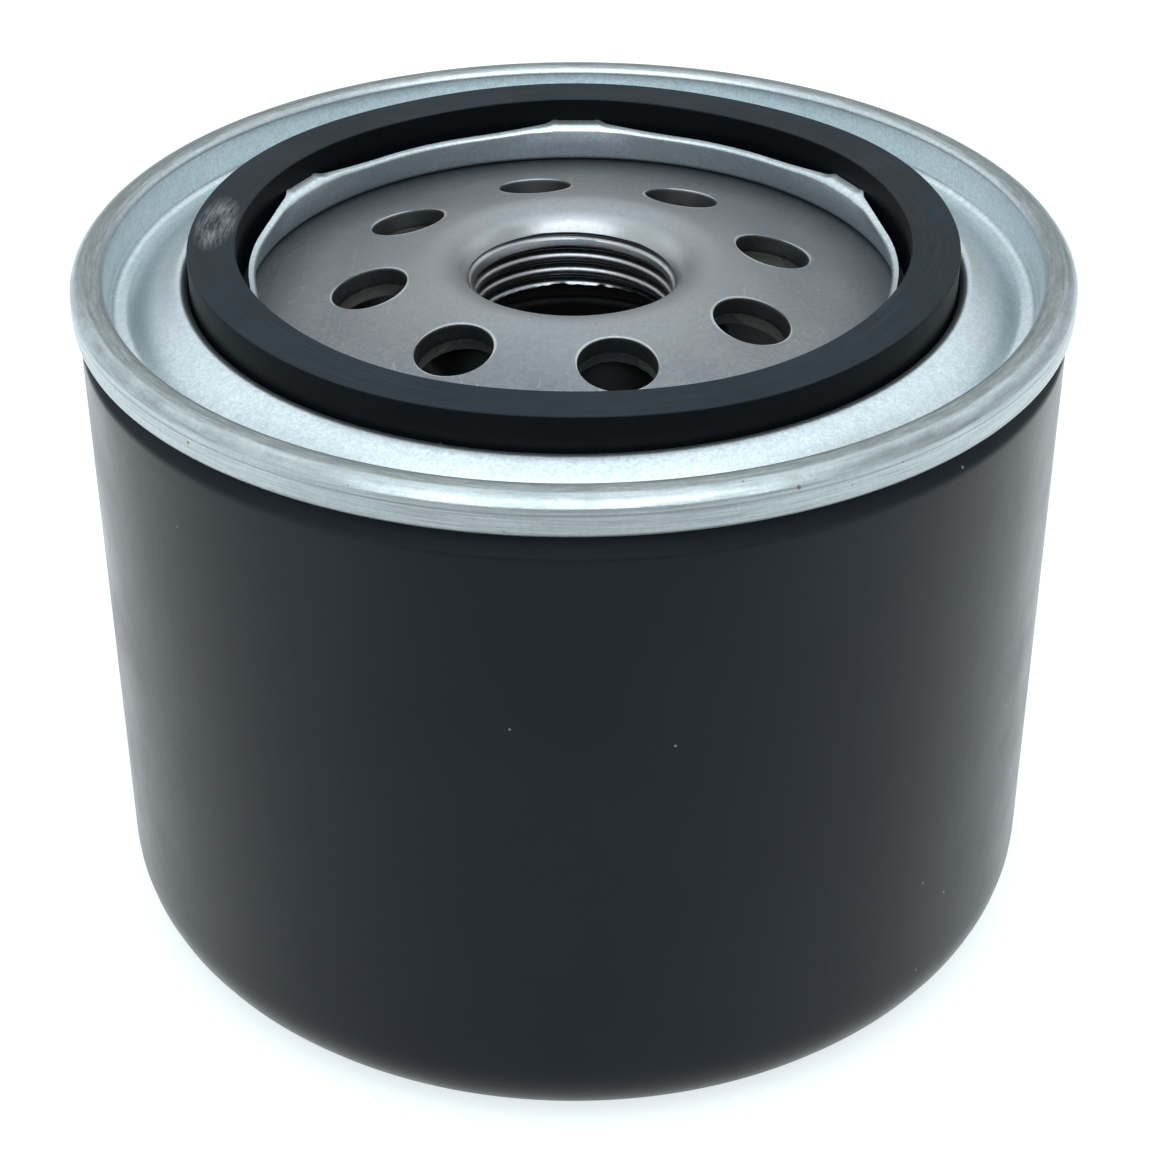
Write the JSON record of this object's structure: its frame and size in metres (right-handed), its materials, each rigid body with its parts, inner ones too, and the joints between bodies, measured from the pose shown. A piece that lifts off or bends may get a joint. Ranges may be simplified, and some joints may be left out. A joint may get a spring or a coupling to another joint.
{
  "type": "oil filter",
  "caption": "Short spin-on oil filter: black can, zinc-plated seaming lid, square rubber gasket, domed plate with inlet holes round a threaded outlet.",
  "frame": {"origin": "centre of the can's bottom face", "axes": "+Z along the filter's axis towards the gasket and thread; +Y passes through the middle of the first of the lip's six crimps; +X is square to both"},
  "size_m": [0.093, 0.093, 0.0705],
  "materials": {
    "painted_can": "semi-gloss black enamel",
    "zinc_sheet": "satin zinc plating",
    "plate_steel": "satin, lightly oiled",
    "gasket_rubber": "matte",
    "valve_rubber": "matte",
    "sealant": "matte",
    "dark_sheet": "dark oiled steel sheet",
    "glue": "matte cured plastisol",
    "paper": "resin-treated paper",
    "valve_steel": "passivated",
    "spring_steel": "drawn wire, oiled"
  },
  "bodies": {
    "housing": {"housing_can": "painted_can", "seaming_lid": "zinc_sheet", "seam_sealant": "sealant", "tapping_plate": "plate_steel", "sealing_gasket": "gasket_rubber", "support_spring": "spring_steel"},
    "drainback_valve": {"anti_drainback_valve": "valve_rubber"},
    "element": {"upper_end_cap": "dark_sheet", "lower_end_cap": "dark_sheet", "centre_tube": "dark_sheet", "upper_potting": "glue", "lower_potting": "glue", "pleated_media": "paper", "media_seam_clip": "dark_sheet", "bypass_seat": "valve_steel", "bypass_cage": "valve_steel", "bypass_spring": "spring_steel", "spring_seat": "valve_steel"},
    "bypass_valve": {"bypass_disc": "valve_steel", "bypass_seal": "valve_rubber", "bypass_stem": "valve_steel"}
  },
  "joints": [
    {"name": "element_float", "type": "slide", "parent": "housing", "child": "element", "axis": [0, 0, -1], "range_m": [0, 0.0015], "stiffness_N_per_m": 4000, "springref_m": -0.01, "deforming": ["support_spring"]},
    {"name": "bypass_lift", "type": "slide", "parent": "element", "child": "bypass_valve", "axis": [0, 0, 1], "range_m": [0, 0.003], "stiffness_N_per_m": 2500, "springref_m": -0.007, "deforming": ["bypass_spring"]},
    {"name": "drainback_lift", "type": "slide", "parent": "housing", "child": "drainback_valve", "axis": [0, 0, -1], "range_m": [0, 0.0012], "stiffness_N_per_m": 500, "springref_m": -0.0005, "deforming": ["anti_drainback_valve"]}
  ]
}
